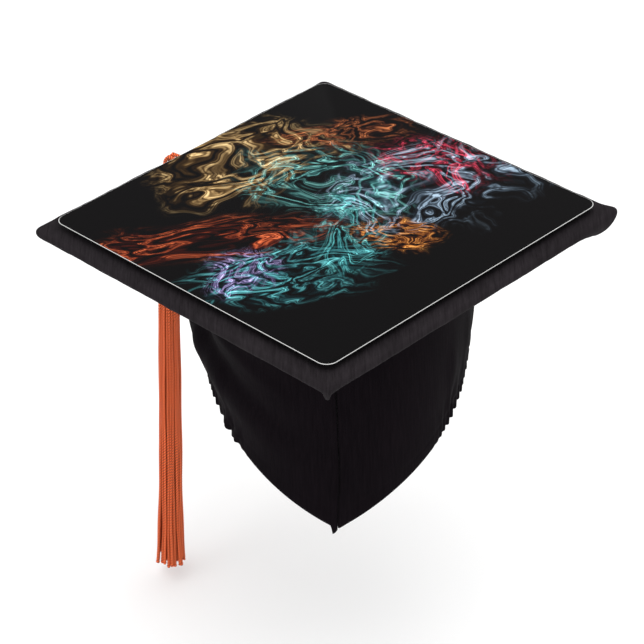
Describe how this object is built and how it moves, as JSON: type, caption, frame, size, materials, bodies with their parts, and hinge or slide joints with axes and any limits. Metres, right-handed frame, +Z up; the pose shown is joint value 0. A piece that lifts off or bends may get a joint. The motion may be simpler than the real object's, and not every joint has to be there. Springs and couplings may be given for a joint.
{
  "type": "graduation cap",
  "caption": "Square cloth-covered academic cap with a soft peaked crown, a printed lift-off topper sheet, and a corded tassel that hangs over one edge and swings.",
  "frame": {"origin": "centre of the underside of the crown's lining, inside the cap, where the top of the wearer's head rests", "axes": "+Z up out of the board, -Y the way the wearer faces, -X the wearer's right; the board's four corners point along X and Y"},
  "size_m": [0.338, 0.338, 0.3208],
  "materials": {
    "board_cloth": "matt ribbed black poplin with a soft rolled edge",
    "core_card": "plain chipboard",
    "button_cloth": "black cloth pulled over a flat button",
    "button_steel": "plated steel",
    "topper_print": "thin white-cored sheet printed black with a swirling abstract pattern, satin",
    "hook_nylon": "black nylon hooks on an adhesive disc",
    "loop_nylon": "black nylon loops on an adhesive disc",
    "crown_cloth": "matt black poplin, gathered at the sides and back",
    "lining_cloth": "smooth black lining",
    "buckram": "stiffened open weave",
    "sweatband_cloth": "black cotton twill tape",
    "elastic_knit": "knitted black elastic",
    "tassel_rayon": "orange-red rayon, chain-knitted strands with a soft sheen"
  },
  "bodies": {
    "root": {"board_cover_top": "board_cloth", "board_cover_bottom": "board_cloth", "board_core": "core_card", "button_cap": "button_cloth", "button_shank": "button_steel", "button_washer": "button_steel", "loop_coin_left": "loop_nylon", "loop_coin_back": "loop_nylon", "loop_coin_right": "loop_nylon", "loop_coin_front": "loop_nylon", "crown_panel_left": "crown_cloth", "crown_panel_right": "crown_cloth", "crown_lining": "lining_cloth", "crown_seam_binding": "lining_cloth", "front_stiffener_left": "buckram", "front_stiffener_right": "buckram", "front_sweatband": "sweatband_cloth", "front_seam_tape": "sweatband_cloth", "back_seam_tape": "sweatband_cloth", "elastic_band": "elastic_knit"},
    "topper": {"topper_sheet": "topper_print", "hook_coin_left": "hook_nylon", "hook_coin_back": "hook_nylon", "hook_coin_right": "hook_nylon", "hook_coin_front": "hook_nylon"},
    "cord_run": {"cord_loop": "tassel_rayon", "cord_bend_left": "tassel_rayon", "cord_bend_right": "tassel_rayon"},
    "tassel_drop": {"cord_drop_left": "tassel_rayon", "cord_drop_right": "tassel_rayon", "cord_knot": "tassel_rayon"},
    "tassel": {"tassel_head": "tassel_rayon", "tassel_neck_binding": "tassel_rayon", "tassel_skirt": "tassel_rayon"}
  },
  "joints": [
    {"name": "topper_lift", "type": "slide", "parent": "root", "child": "topper", "axis": [0, 0, 1], "range_m": [0, 0.08]},
    {"name": "cord_turn", "type": "hinge", "parent": "root", "child": "cord_run", "pos_m": [0, 0, 0.0098], "axis": [0, 0, 1], "range_deg": [-13, 2]},
    {"name": "tassel_swing", "type": "hinge", "parent": "cord_run", "child": "tassel_drop", "pos_m": [-0.09203, 0.07538, 0.004], "axis": [0.6337, 0.7736, 0], "range_deg": [0, 90], "deforming": ["cord_bend_left", "cord_bend_right"]},
    {"name": "tassel_sway", "type": "hinge", "parent": "tassel_drop", "child": "tassel", "pos_m": [-0.09652, 0.07906, -0.0482], "axis": [-0.7736, 0.6337, 0], "range_deg": [-35, 35]}
  ]
}
